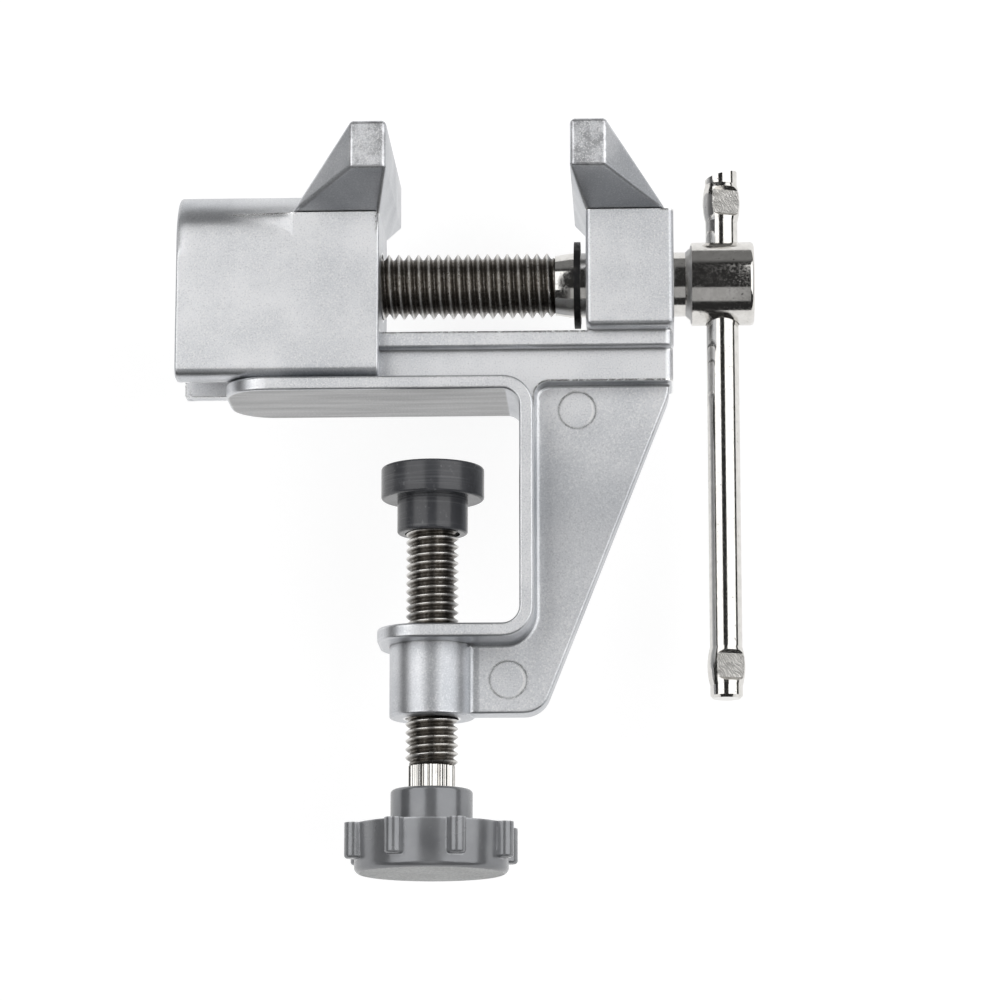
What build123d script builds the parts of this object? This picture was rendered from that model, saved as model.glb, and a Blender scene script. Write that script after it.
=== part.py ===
"""Mini table vise that clamps to a table edge.

All sizes are in millimetres. +Z is up as the vise is used, X runs along the vise screw and Y along the jaws.
The origin is where the clamp screw's axis meets the face that rests on the table top.
"""

import math
import os

from build123d import *

# Fits between pieces: radial or side clearances
slide_clearance = 0.2
running_clearance = 0.08
seat_clearance = 0.02

# Jaws
jaw_width = 35.6
jaw_face_height = 7.2
jaw_thickness = 5.2
jaw_above_screw = 21.2
jaw_opening = 27.3
fixed_jaw_face = 21.2
fixed_jaw_overhang = 2.1
sliding_jaw_overhang = 1.6
jaw_root_drop = 4.5
jaw_root_step = 0.35
jaw_root_overlap = 0.3
fixed_jaw_root_length = 11.8
sliding_jaw_root_length = 13.0
jaw_edge_round = 0.8

# Blocks below the jaws
block_width = 18.0
fixed_block_length = 13.2
fixed_block_side_round = 0.8
fixed_block_bottom_round = 1.2
sliding_block_length = 30.6
sliding_block_rise = 4.3
sliding_block_flat = 1.2
sliding_block_bottom_round = 1.8
sliding_block_edge_round = 0.4
jaw_seat_blend = 10.0

# Rail that guides the sliding jaw
rail_left = -36.9
rail_neck_width = 10.0
rail_neck_setback = 0.5
rail_head_width = 13.2
rail_head_bottom = 7.0
rail_head_top = 9.5
rail_tail_width = 2.4
rail_tail_bottom = 0.9
rail_tail_round = 0.9
rail_edge_round = 0.6
rail_end_round = 1.2
rail_gusset = 2.2
rail_setback = 0.2

# Clamp frame: one bent plate, a web and a screw boss
plate_width = 19.6
plate_thickness = 2.1
plate_bend_radius = 3.6
plate_corner_radius = 6.5
plate_edge_round = 0.4
flange_left = -31.0
column_inner = 13.35
throat_height = 35.25
arm_left = -8.0
web_thickness = 5.0
web_foot = 16.5
web_foot_round = 4.0
web_rise = 0.45
web_inset = 0.6
web_shoulder = 1.5
web_shoulder_round = 7.0
web_root_round = 0.8
boss_diameter = 12.7
boss_bottom = -48.2
boss_round = 0.4

# Marks that the mould's ejector pins left on the web
ejector_mark_diameter = 5.6
ejector_mark_depth = 0.15
upper_mark_from_column = 6.4
upper_mark_below_flange = 1.85
lower_mark_from_column = 1.9
lower_mark_below_arm = 5.35

# Vise screw and its snap ring
ring_to_rail = 2.0
vise_thread_diameter = 9.86
vise_thread_left = -21.4
vise_thread_right = 18.6
vise_thread_chamfer = 0.8
vise_shank_diameter = 9.8
vise_neck_diameter = 9.1
vise_neck_land = 0.6
ring_groove_diameter = 9.0
ring_thickness = 0.95
ring_diameter = 13.2
ring_opening = 3.0
ring_lug_diameter = 3.2
ring_lug_hole = 1.4
ring_gap_to_block = 0.9
head_diameter = 12.7
head_left = 39.0
head_length = 9.65
head_round = 0.6
head_back_chamfer = 0.25
head_root_chamfer = 0.75

# Tommy bar
bar_diameter = 4.9
bar_length = 81.0
bar_above_screw = 17.5
bar_end_chamfer = 0.4
bar_shear_angle = 15.0
bar_flat_turn = 20.0
swage_length = 5.8
swage_width = 5.7
swage_thickness = 3.7
swage_flat_length = 4.6
swage_flat_slope = 0.5
swage_from_top = 5.0
swage_from_bottom = 4.8

# Clamp screw and swivel pad
clamp_thread_diameter = 7.86
clamp_thread_bottom = -55.3
clamp_thread_chamfer = 0.5
knurl_diameter = 7.0
ball_diameter = 6.5
ball_neck_diameter = 4.4
pad_top = -10.1
pad_diameter = 15.5
pad_rim_height = 4.9
pad_rim_round = 0.45
pad_hub_diameter = 10.6
pad_hub_height = 5.2
pad_hub_round = 0.4
pad_mouth_room = 0.4
pad_throat_depth = 1.3

# Hand knob
knob_hub_diameter = 12.2
knob_hub_top = -58.8
knob_hub_height = 5.3
knob_hub_round = 0.6
knob_diameter = 23.2
knob_height = 7.2
knob_draft = 1.5
knob_round = 1.0
knob_bore_room = 0.2
knob_grip = 9.2
rib_count = 8
rib_radius = 1.35
rib_reach = 13.4
rib_height = 5.3
rib_round = 0.5
rib_turn = 21.0

# How far a joined solid reaches into its neighbour, and a cut past the stock that it goes through
join_overlap = 1.0
cut_past = 1.0
# Slack for picking edges by their place
pick_slack = 0.01

# Places that follow from the sizes above
vise_axis_height = rail_head_top + ring_to_rail + ring_diameter / 2
jaw_top = vise_axis_height + jaw_above_screw
jaw_root = jaw_top - jaw_face_height - jaw_root_drop
fixed_block_left = fixed_jaw_face + fixed_jaw_overhang
fixed_block_right = fixed_block_left + fixed_block_length
rail_right = fixed_block_right - rail_setback
ring_left = fixed_block_left - ring_gap_to_block - ring_thickness
sliding_jaw_face = fixed_jaw_face - jaw_opening
sliding_block_right = sliding_jaw_face - sliding_jaw_overhang
sliding_block_left = sliding_block_right - sliding_block_length
sliding_block_bottom = plate_thickness + slide_clearance
sliding_block_top = jaw_root + sliding_block_rise
sliding_block_round = (block_width - sliding_block_flat) / 2
neck_left = flange_left + rail_neck_setback
column_outer = column_inner + plate_thickness
column_middle = column_inner + plate_thickness / 2
flange_middle = plate_thickness / 2
arm_top = -throat_height
arm_bottom = arm_top - plate_thickness
arm_middle = arm_top - plate_thickness / 2
web_bottom = boss_bottom + web_rise
web_right = rail_right - web_inset
ejector_marks = [
    (column_outer + upper_mark_from_column, -upper_mark_below_flange),
    (column_inner - lower_mark_from_column, arm_bottom - lower_mark_below_arm),
]
bar_centre = head_left + head_length / 2
bar_top = vise_axis_height + bar_above_screw
bar_bottom = bar_top - bar_length
pad_rim_bottom = pad_top - pad_rim_height
pad_bottom = pad_rim_bottom - pad_hub_height
knob_body_top = knob_hub_top - knob_hub_height
knurl_bottom = knob_hub_top - knob_grip


def box(x, y, z):
    """Box between the two ends given for each axis."""
    size = [b - a for a, b in (x, y, z)]
    centre = [(a + b) / 2 for a, b in (x, y, z)]
    return Pos(*centre) * Box(*size)


def across(width):
    """The two ends of a width centred on the middle plane."""
    return -width / 2, width / 2


def plate_of(outline, width):
    """Solid of an X-Z outline, centred on the middle plane."""
    return extrude(Plane.XZ * make_face(outline), amount=width / 2, both=True)


def screw_plane(x):
    """Plane square to the vise screw's axis."""
    return Plane(origin=(x, 0, vise_axis_height), x_dir=(0, 1, 0), z_dir=(1, 0, 0))


def x_bore(diameter, left, right):
    """Cylinder on the vise screw's axis."""
    return extrude(screw_plane(left) * Circle(diameter / 2), amount=right - left)


def z_cylinder(diameter, bottom, top, x=0.0, y=0.0):
    """Upright cylinder."""
    return Pos(x, y, bottom) * extrude(Circle(diameter / 2), amount=top - bottom)


def round_edges(body):
    """The circular edges of a body."""
    return body.edges().filter_by(GeomType.CIRCLE)


def jaw(face, toward, overhang, root_length):
    """Jaw head: a bar with a flat face, drawn in below to the block that carries it and a little into it.

    toward is +1 where the jaw's body lies on the +X side of its face and -1 where it lies on the other side.
    """
    high = jaw_top
    low = jaw_top - jaw_face_height
    half = jaw_width / 2
    root = block_width / 2 - jaw_root_step
    back = face + toward * jaw_thickness
    root_front = face + toward * overhang
    root_back = root_front + toward * root_length

    def past_root(upper, lower):
        return lower + (lower - upper) * jaw_root_overlap / jaw_root_drop

    def pair(x, y, z):
        return [Vector(x, -y, z), Vector(x, y, z)]

    front_high = pair(face, half, high)
    front_low = pair(face, half, low)
    back_high = pair(back, half, high)
    back_low = pair(back, half, low)
    base = past_root(low, jaw_root)
    base_half = past_root(half, root)
    base_front = pair(past_root(face, root_front), base_half, base)
    base_back = pair(past_root(back, root_back), base_half, base)

    def strip(a, b):
        return [a[0], a[1], b[1], b[0]]

    corners = [
        strip(front_high, back_high),
        strip(front_high, front_low),
        strip(front_low, base_front),
        strip(back_high, base_back),
        strip(base_front, base_back),
    ]
    for side in (0, 1):
        corners.append([front_high[side], back_high[side], back_low[side], front_low[side]])
        corners.append([front_low[side], back_low[side], base_back[side], base_front[side]])
        corners.append([back_high[side], back_low[side], base_back[side]])
    faces = [make_face(Polyline(*points, close=True)).face() for points in corners]
    head = Solid(Shell(faces))
    base_edges = head.edges().filter_by_position(Axis.Z, base - pick_slack, base + pick_slack)
    return fillet(head.edges() - base_edges, jaw_edge_round)


def clamp_plate():
    """Table flange, column and lower arm as one bent plate with rounded ends."""
    spine = FilletPolyline(
        (flange_left, flange_middle),
        (column_middle, flange_middle),
        (column_middle, arm_middle),
        (arm_left, arm_middle),
        radius=plate_bend_radius,
    )
    profile = trace(spine, line_width=plate_thickness)
    plate = extrude(Plane.XZ * profile, amount=plate_width / 2, both=True)
    upright = plate.edges().filter_by(Axis.Z)
    flange_end = upright.group_by(Axis.X)[0]
    arm_end = upright.filter_by_position(Axis.X, arm_left - pick_slack, arm_left + pick_slack)
    plate = fillet(flange_end + arm_end, plate_corner_radius)
    rims = plate.faces().filter_by(Axis.Y).edges().filter_by(Axis.Y, reverse=True)
    return fillet(rims, plate_edge_round)


def web():
    """Web between the rail, the column and the screw boss, with its slanted free edge."""
    outline = Polyline(
        (column_middle, plate_thickness),
        (web_right, plate_thickness),
        (web_right, plate_thickness - web_shoulder),
        (web_foot, web_bottom),
        (0, web_bottom),
        (0, arm_middle),
        (column_inner - plate_thickness, arm_middle),
        (column_middle, arm_top + plate_thickness),
        close=True,
    )
    plate = plate_of(outline, web_thickness)
    corners = plate.edges().filter_by(Axis.Y)
    shoulder = corners.sort_by_distance((web_right, 0, plate_thickness - web_shoulder))[0]
    foot = corners.sort_by_distance((web_foot, 0, web_bottom))[0]
    plate = fillet(shoulder, web_shoulder_round)
    plate = fillet(plate.edges().filter_by(Axis.Y).sort_by_distance(foot.center())[0], web_foot_round)
    return fillet(web_face_edges(plate).filter_by(is_free_edge), plate_edge_round)


def is_free_edge(edge):
    """True on the web's slanted edge, its foot and its bottom."""
    middle = edge.center()
    slanted = middle.Z < plate_thickness - pick_slack and middle.X > column_outer + rail_gusset
    return slanted or middle.Z < web_bottom + web_foot_round / 2


def web_face_edges(body):
    """Edges that lie on either face of the web."""
    half = web_thickness / 2
    near = body.edges().filter_by_position(Axis.Y, -half - pick_slack, -half + pick_slack)
    return near + body.edges().filter_by_position(Axis.Y, half - pick_slack, half + pick_slack)


def rail():
    """T-shaped rail: a narrow neck that stands on the flange and a wider head."""
    bend_start = flange_middle - plate_bend_radius
    corner_start = min(bend_start, plate_thickness - rail_gusset - pick_slack)
    lower = Polyline(
        (neck_left, rail_head_bottom),
        (neck_left, flange_middle),
        (column_middle - plate_bend_radius, flange_middle),
        (column_middle, bend_start),
        (column_outer, corner_start),
        (column_outer, plate_thickness - rail_gusset),
    )
    corner = RadiusArc(lower @ 1, (column_outer + rail_gusset, plate_thickness), rail_gusset)
    upper = Polyline(
        corner @ 1,
        (rail_right, plate_thickness),
        (rail_right, rail_head_bottom),
        (neck_left, rail_head_bottom),
    )
    neck = plate_of(lower + corner + upper, rail_neck_width)
    head = box((rail_left, rail_right), across(rail_head_width), (rail_head_bottom, rail_head_top))
    return round_rail_end(neck) + round_rail_end(head) + rail_tail()


def round_rail_end(bar):
    """Rounds the corners of a bar of the rail at its handle end, and its lower edges."""
    corners = bar.edges().filter_by(Axis.Z).group_by(Axis.X)[-1]
    bar = fillet(corners, rail_end_round)
    lower = bar.edges().filter_by(Axis.X).group_by(Axis.Z)[0]
    return fillet(lower, rail_edge_round)


def rail_tail():
    """Thin tongue below the rail's head, where the rail reaches out past the flange."""
    x = (rail_left, neck_left + join_overlap)
    tongue = box(x, across(rail_tail_width), (rail_tail_bottom, rail_head_bottom))
    corner = tongue.edges().filter_by(Axis.Y).sort_by_distance((rail_left, 0, rail_tail_bottom))[0]
    return fillet(corner, rail_tail_round)


def fixed_block():
    """Block of the fixed jaw, standing on the rail."""
    block = box((fixed_block_left, fixed_block_right), across(block_width), (rail_head_top, jaw_root))
    block = fillet(block.edges().filter_by(Axis.Z), fixed_block_side_round)
    return fillet(block.edges().group_by(Axis.Z)[0], fixed_block_bottom_round)


def screw_boss():
    """Boss below the arm that the clamp screw threads through."""
    boss = z_cylinder(boss_diameter, boss_bottom, arm_middle)
    return fillet(round_edges(boss).group_by(Axis.Z)[0], boss_round)


def ejector_mark(x, z):
    """Shallow round mark on the web's near face, as the stock taken away."""
    floor = Plane.XZ.offset(web_thickness / 2 - ejector_mark_depth)
    return extrude(floor * Pos(x, z) * Circle(ejector_mark_diameter / 2), amount=2 * ejector_mark_depth)


def make_frame():
    """Fixed jaw, rail and clamp frame in one casting."""
    body = clamp_plate() + web() + screw_boss() + rail()
    roots = web_face_edges(body).filter_by(is_free_edge, reverse=True)
    body = fillet(roots, web_root_round)
    for x, z in ejector_marks:
        body -= ejector_mark(x, z)
    body += fixed_block()
    body += jaw(fixed_jaw_face, 1, fixed_jaw_overhang, fixed_jaw_root_length)
    shank_bore = vise_shank_diameter + 2 * running_clearance
    body -= x_bore(shank_bore, fixed_block_left - cut_past, fixed_block_right + cut_past)
    thread_bore = clamp_thread_diameter + 2 * running_clearance
    return body - z_cylinder(thread_bore, boss_bottom - cut_past, arm_top + cut_past)


def jaw_seat():
    """Flat-sided stock below the sliding jaw, which runs out into the block's round top."""
    front = sliding_block_right - sliding_block_edge_round
    back = sliding_block_right - sliding_jaw_root_length
    half = block_width / 2
    drop = sliding_block_round - sliding_block_rise
    inner = half - sliding_block_round + math.sqrt(sliding_block_round**2 - drop**2)
    side = [(front, half), (back, half), (back - jaw_seat_blend, inner)]
    outline = Polyline(*side, *[(x, -y) for x, y in reversed(side)], close=True)
    return Pos(0, 0, jaw_root - drop) * extrude(make_face(outline), amount=drop)


def make_sliding_jaw():
    """Sliding jaw: block with a T-channel over the rail and a bore for the vise screw."""
    x = (sliding_block_left, sliding_block_right)
    block = box(x, across(block_width), (sliding_block_bottom, sliding_block_top))
    top_edges = block.edges().filter_by(Axis.X).group_by(Axis.Z)[-1]
    block = fillet(top_edges, sliding_block_round)
    block = fillet(block.edges().filter_by(Axis.X).group_by(Axis.Z)[0], sliding_block_bottom_round)
    for end in (0, -1):
        block = fillet(block.faces().sort_by(Axis.X)[end].edges(), sliding_block_edge_round)
    block += jaw_seat()
    block += jaw(sliding_jaw_face, -1, sliding_jaw_overhang, sliding_jaw_root_length)
    through = (sliding_block_left - cut_past, sliding_block_right + cut_past)
    head_slot = across(rail_head_width + 2 * slide_clearance)
    neck_slot = across(rail_neck_width + 2 * slide_clearance)
    block -= box(through, head_slot, (rail_head_bottom - slide_clearance, rail_head_top + slide_clearance))
    block -= box(through, neck_slot, (sliding_block_bottom - cut_past, rail_head_top))
    return block - x_bore(vise_thread_diameter + 2 * running_clearance, *through)


def make_vise_screw():
    """Vise screw: threaded rod, grooved shank and a round head drilled for the tommy bar."""
    groove_right = ring_left + ring_thickness
    head_right = head_left + head_length
    thread = vise_thread_diameter / 2
    shank = vise_shank_diameter / 2
    groove = ring_groove_diameter / 2
    head = head_diameter / 2
    profile = Polyline(
        (vise_thread_left, 0),
        (vise_thread_left, thread - vise_thread_chamfer),
        (vise_thread_left + vise_thread_chamfer, thread),
        (vise_thread_right, thread),
        (vise_thread_right, vise_neck_diameter / 2),
        (ring_left - vise_neck_land, shank),
        (ring_left, shank),
        (ring_left, groove),
        (groove_right, groove),
        (groove_right, shank),
        (head_left - head_root_chamfer, shank),
        (head_left, shank + head_root_chamfer),
        (head_left, head - head_back_chamfer),
        (head_left + head_back_chamfer, head),
        (head_right, head),
        (head_right, 0),
        close=True,
    )
    rod = revolve(Plane.XZ * make_face(profile), Axis.X)
    rod = fillet(round_edges(rod).group_by(Axis.X)[-1], head_round)
    hole = z_cylinder(bar_diameter + 2 * running_clearance, -head_diameter, head_diameter, bar_centre)
    return Pos(0, 0, vise_axis_height) * (rod - hole)


def make_retaining_ring():
    """Open snap ring in the screw's groove, with two drilled lugs turned to the far side."""
    inner = ring_groove_diameter / 2 + seat_clearance
    lug_reach = inner + ring_lug_diameter / 2
    half_angle = math.degrees(math.asin((ring_opening + ring_lug_diameter) / 2 / lug_reach))
    ring = Circle(ring_diameter / 2) - Pos(lug_reach, 0) * Rectangle(2 * lug_reach, ring_opening)
    for side in (-1, 1):
        place = Rot(0, 0, side * half_angle) * Pos(lug_reach, 0)
        ring += place * Circle(ring_lug_diameter / 2)
        ring -= place * Circle(ring_lug_hole / 2)
    ring -= Circle(inner)
    return extrude(screw_plane(ring_left) * ring, amount=ring_thickness)


def swage(centre):
    """Pressed end of the bar: squeezed flat on two sides and spread on the others."""
    half = swage_length / 2
    radius = bar_diameter / 2
    bulge = ThreePointArc((radius, -half), (swage_width / 2, 0), (radius, half))
    core = Polyline((radius, half), (0, half), (0, -half), (radius, -half))
    return Pos(0, 0, centre) * revolve(Plane.XZ * make_face(bulge + core), Axis.Z)


def swage_flats(centre):
    """The two pressed flats, as the stock taken away."""
    lower = centre - swage_flat_length / 2
    upper = centre + swage_flat_length / 2
    near = swage_thickness / 2
    block = box(across(2 * swage_width), (near, near + swage_width), (lower, upper))
    cut = chamfer(block.edges().filter_by(Axis.X).group_by(Axis.Y)[0], swage_flat_slope)
    return [cut, mirror(cut, Plane.XZ)]


def make_tommy_bar():
    """Sliding cross bar, sheared off at the top and kept in the screw's head by its pressed ends."""
    rod = z_cylinder(bar_diameter, bar_bottom, bar_top)
    rod = chamfer(round_edges(rod).group_by(Axis.Z)[0], bar_end_chamfer)
    for centre in (bar_top - swage_from_top, bar_bottom + swage_from_bottom):
        rod += swage(centre)
        for cut in swage_flats(centre):
            rod -= cut
    rod = Rot(0, 0, bar_flat_turn) * rod
    shear = Pos(bar_diameter / 2, 0, bar_top) * Rot(0, -bar_shear_angle, 0)
    stock = box(across(4 * bar_diameter), across(2 * bar_diameter), (0, 2 * bar_diameter))
    return Pos(bar_centre, 0, 0) * (rod - shear * stock)


def make_clamp_screw():
    """Clamp screw: ball end for the swivel pad, threaded rod and a knurled end for the knob."""
    thread_top = pad_bottom + pad_throat_depth
    rod = z_cylinder(clamp_thread_diameter, clamp_thread_bottom, thread_top)
    rod = chamfer(round_edges(rod), clamp_thread_chamfer)
    rod += z_cylinder(knurl_diameter, knurl_bottom, clamp_thread_bottom + join_overlap)
    rod += z_cylinder(ball_neck_diameter, thread_top - join_overlap, pad_rim_bottom)
    return rod + Pos(0, 0, pad_rim_bottom) * Sphere(ball_diameter / 2)


def make_swivel_pad():
    """Swivel pad: a flanged cap that turns on the screw's ball."""
    rim = z_cylinder(pad_diameter, pad_rim_bottom, pad_top)
    rim = fillet(round_edges(rim), pad_rim_round)
    hub = z_cylinder(pad_hub_diameter, pad_bottom, pad_rim_bottom + join_overlap)
    hub = fillet(round_edges(hub).group_by(Axis.Z)[0], pad_hub_round)
    socket = Pos(0, 0, pad_rim_bottom) * Sphere(ball_diameter / 2 + running_clearance)
    mouth = z_cylinder(ball_neck_diameter + 2 * pad_mouth_room, pad_bottom, pad_rim_bottom)
    throat_top = pad_bottom + pad_throat_depth + slide_clearance
    throat = z_cylinder(clamp_thread_diameter + 2 * slide_clearance, pad_bottom, throat_top)
    return rim + hub - socket - mouth - throat


def knob_rib():
    """One grip rib: a round-nosed bar that runs down from the knob's top."""
    bottom = knob_body_top - rib_height
    nose = z_cylinder(2 * rib_radius, bottom, knob_body_top, rib_reach - rib_radius)
    root = (rib_reach - 3 * rib_radius, rib_reach - rib_radius)
    rib = nose + box(root, across(2 * rib_radius), (bottom, knob_body_top))
    return fillet(rib.edges().group_by(Axis.Z)[0], rib_round)


def make_hand_knob():
    """Hand knob: drafted hub and body with rounded grip ribs round the upper part."""
    top = Pos(0, 0, knob_body_top) * Circle(knob_diameter / 2)
    body = extrude(top, amount=-knob_height, taper=knob_draft)
    body = fillet(round_edges(body).group_by(Axis.Z)[0], knob_round)
    hub = z_cylinder(knob_hub_diameter, knob_body_top - join_overlap, knob_hub_top)
    knob = body + fillet(round_edges(hub).group_by(Axis.Z)[-1], knob_hub_round)
    rib = knob_rib()
    for i in range(rib_count):
        knob += Rot(0, 0, rib_turn + i * 360 / rib_count) * rib
    bore = knurl_diameter + 2 * seat_clearance
    return knob - z_cylinder(bore, knurl_bottom - knob_bore_room, knob_hub_top + cut_past)


os.makedirs("parts", exist_ok=True)
pieces = {
    "frame": make_frame(),
    "sliding_jaw": make_sliding_jaw(),
    "vise_screw": make_vise_screw(),
    "retaining_ring": make_retaining_ring(),
    "tommy_bar": make_tommy_bar(),
    "clamp_screw": make_clamp_screw(),
    "swivel_pad": make_swivel_pad(),
    "hand_knob": make_hand_knob(),
}
for name, piece in pieces.items():
    export_step(piece, f"parts/{name}.step")
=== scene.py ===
"""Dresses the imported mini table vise: screw threads, finishes, a white ground, soft light and the camera.

Everything is in metres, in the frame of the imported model: +Z up, X along the vise screw and Y along the jaws.
"""

import math

import bmesh
import bpy
from mathutils import Matrix, Vector


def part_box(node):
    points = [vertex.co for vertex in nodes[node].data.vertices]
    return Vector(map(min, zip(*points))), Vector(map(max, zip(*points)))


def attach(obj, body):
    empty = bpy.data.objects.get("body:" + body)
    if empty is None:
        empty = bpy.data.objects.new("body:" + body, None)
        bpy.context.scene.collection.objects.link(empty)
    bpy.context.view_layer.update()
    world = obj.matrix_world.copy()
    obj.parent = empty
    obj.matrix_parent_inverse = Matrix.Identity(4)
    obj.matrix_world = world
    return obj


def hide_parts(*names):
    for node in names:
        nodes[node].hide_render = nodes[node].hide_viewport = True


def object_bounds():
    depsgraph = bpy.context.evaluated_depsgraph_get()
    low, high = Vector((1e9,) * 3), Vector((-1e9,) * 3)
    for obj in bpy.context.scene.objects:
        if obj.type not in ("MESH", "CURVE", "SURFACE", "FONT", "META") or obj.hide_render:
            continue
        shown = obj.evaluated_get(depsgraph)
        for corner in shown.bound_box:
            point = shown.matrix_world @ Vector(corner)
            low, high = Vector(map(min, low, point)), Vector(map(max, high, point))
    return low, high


MM = 0.001
TURN = 2 * math.pi

# Camera, as the photograph was taken: a square picture, seen from a little below the jaws' middle
PICTURE_PIXELS = 1001
FOCAL_PIXELS = 3900
SENSOR_WIDTH = 36.0
CAMERA_EYE = Vector((33.6, -574.4, -130.3)) * MM
CAMERA_PITCH = math.radians(11.331)
CAMERA_TURN = math.radians(2.332)
CAMERA_CLIP_START = 0.01

# Vise screw, M10 x 1.5
VISE_PITCH = 1.5 * MM
VISE_ROOT_DIAMETER = 8.15 * MM
VISE_THREAD_DIAMETER = 9.86 * MM
VISE_SHANK_DIAMETER = 9.8 * MM
VISE_NECK_DIAMETER = 9.1 * MM
VISE_NECK_LENGTH = 2.25 * MM
VISE_NECK_LAND = 0.6 * MM
RING_GROOVE_DIAMETER = 9.0 * MM
HEAD_LENGTH = 9.65 * MM
HEAD_ROUND = 0.6 * MM
HEAD_ROUND_STEPS = 6
HEAD_BACK_CHAMFER = 0.25 * MM
HEAD_ROOT_CHAMFER = 0.75 * MM
BAR_HOLE_DIAMETER = 5.06 * MM
VISE_COLUMNS = 128

# Thread in the sliding jaw's bore
JAW_BORE_DIAMETER = 10.02 * MM
JAW_THREAD_DEPTH = 0.72 * MM
JAW_THREAD_SETBACK = 0.7 * MM
JAW_THREAD_LENGTH = 29.0 * MM
JAW_THREAD_WALL = 0.3 * MM
WALL_COVER = 0.01 * MM

# Pressed ends of the tommy bar
BAR_FLAT_TURN = math.radians(20)
SWAGE_FROM_TOP = 5.0 * MM
SWAGE_FROM_BOTTOM = 4.8 * MM
SWAGE_FLAT_LENGTH = 4.6 * MM

# Clamp screw, M8 x 1.25
CLAMP_PITCH = 1.25 * MM
CLAMP_ROOT_DIAMETER = 6.45 * MM
CLAMP_THREAD_DIAMETER = 7.86 * MM
CLAMP_THREAD_BOTTOM = -55.3 * MM
CLAMP_THREAD_TOP = -18.9 * MM
KNURL_DIAMETER = 7.0 * MM
KNURL_DEPTH = 0.3 * MM
KNURL_COUNT = 22
BALL_DIAMETER = 6.5 * MM
BALL_NECK_DIAMETER = 4.4 * MM
BALL_CENTRE = -15.0 * MM
BALL_STEPS = 16
CLAMP_COLUMNS = 176

# Boss of the frame round the clamp screw
BOSS_RADIUS = 7.3 * MM
BOSS_BELOW_TABLE = 38 * MM
BOSS_FADE = 0.5 * MM
BOSS_TUMBLED = 0.4

# Thread form over one pitch: how far along, and how high from the root (0) to the crest (1)
THREAD_FORM = (
    (0.00, 0.00),
    (0.09, 0.06),
    (0.16, 0.20),
    (0.40, 0.86),
    (0.46, 1.00),
    (0.54, 1.00),
    (0.60, 0.86),
    (0.84, 0.20),
    (0.91, 0.06),
)
WELD = 0.00001 * MM
SHARP_ANGLE = math.radians(38)

# White ground: an upright plane behind the vise, which the tommy bar clears at rest and with every
# joint at its upper or its lower limit
GROUND_SIZE = 1.6
GROUND_GAP = 12 * MM
GROUND_COLOUR = (0.32, 0.32, 0.32, 1)
GROUND_WHITE = 0.82
WHITE = (1, 1, 1, 1)

# For all materials: the range that holds most of a noise, and the round that finds edges. Below, a noise
# is given as features a metre, detail and roughness, and a bump as its depth and strength.
MOST_NOISE = (0.30, 0.70)
BEVEL_SAMPLES = 8
EDGE_ALIKE = (0.995, 0.90)

# Greys of the casting: its skin, darker in part as painted shade, its tumbled flats, paler in part as painted
# light, its scuffed jaw ends, its edges and the painted shade on its table face
SHADED_SKIN_DARK = (0.45, 0.465, 0.49, 1)
SHADED_SKIN_LIGHT = (0.66, 0.67, 0.69, 1)
LIT_TUMBLED_DARK = (0.78, 0.795, 0.82, 1)
LIT_TUMBLED_LIGHT = (0.96, 0.965, 0.98, 1)
SCUFF_DARK = (0.44, 0.445, 0.46, 1)
SCUFF_LIGHT = (0.82, 0.83, 0.85, 1)
# Near white of bare metal, used also as a painted highlight on the edges and the ejector marks
BARE_METAL_AND_HIGHLIGHT = (0.99, 0.99, 0.99, 1)
PORE = (0.20, 0.20, 0.21, 1)
RING_LINE = (0.34, 0.345, 0.36, 1)
# Painted shade on the face that looks down at the table
TABLE_SHADE_DARK = (0.26, 0.26, 0.262, 1)
TABLE_SHADE_LIGHT = (0.40, 0.40, 0.402, 1)
SKIN_ROUGHNESS = 0.37
FLAT_ROUGHNESS = 0.52
RIM_ROUGHNESS = 0.22
RIM_WIDTH = 0.9 * MM

# Clouds, sparkling grains, the gaps between them, and pores of the casting
# Painted light: faces that look this squarely along Y take the paler tumbled grey, and the rest take the darker
# skin
LIT_FLAT_FACING = (0.93, 0.985)
CLOUD_NOISE = (80, 3.0, 0.5)
CLOUD_BUMP = (0.20 * MM, 0.12)
GRAIN_NOISE = (4200, 2.0, 0.6)
GRAIN_BUMP = (0.03 * MM, 0.60)
SPARKLE = (0.52, 0.66)
SPARKLE_SKIN_AND_FLATS = (0.20, 0.80)
SPARKLE_SHADED = 0.35
GRAIN_GAPS = (0.46, 0.28)
GRAIN_GAPS_SHARE = 0.22
PORE_NOISE = (5200, 1.0, 0.5)
PORES = (0.79, 0.83)

# Wear of the casting: its rubbed edges, painted near white in part as a highlight, its scuffed jaw ends and the
# streaks in the painted shade on its table face
SCRATCH_NOISE = (1500, 5.0, 0.75)
RIM_SCRATCHES = (0.1, 0.5)
RIM_SHARE = (0.5, 1.0)
SMEAR_NOISE = (420, 6.0, 0.75)
SMEARS = (0.36, 0.64)
SCUFF_START = 0.5 * MM
SCUFF_END = 0.1 * MM
TABLE_STREAK_NOISE = (500, 3.0, 0.5)
TABLE_STREAK_STRETCH = (0.1, 1, 1)
TABLE_FACE_HEIGHT = (0.2 * MM, 0.1 * MM)
TABLE_FACE_FACING = (-0.97, -0.995)

# Painted shade in the creases of the casting: its share, how near the walls are and how open the place is
CREASE_SHADE = (0.12, 0.12, 0.125, 1)
CREASE_SHARE = 0.75
CREASE_REACH = 1.2 * MM
CREASE_OPEN = (0.40, 0.80)
CREASE_SAMPLES = 8

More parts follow.
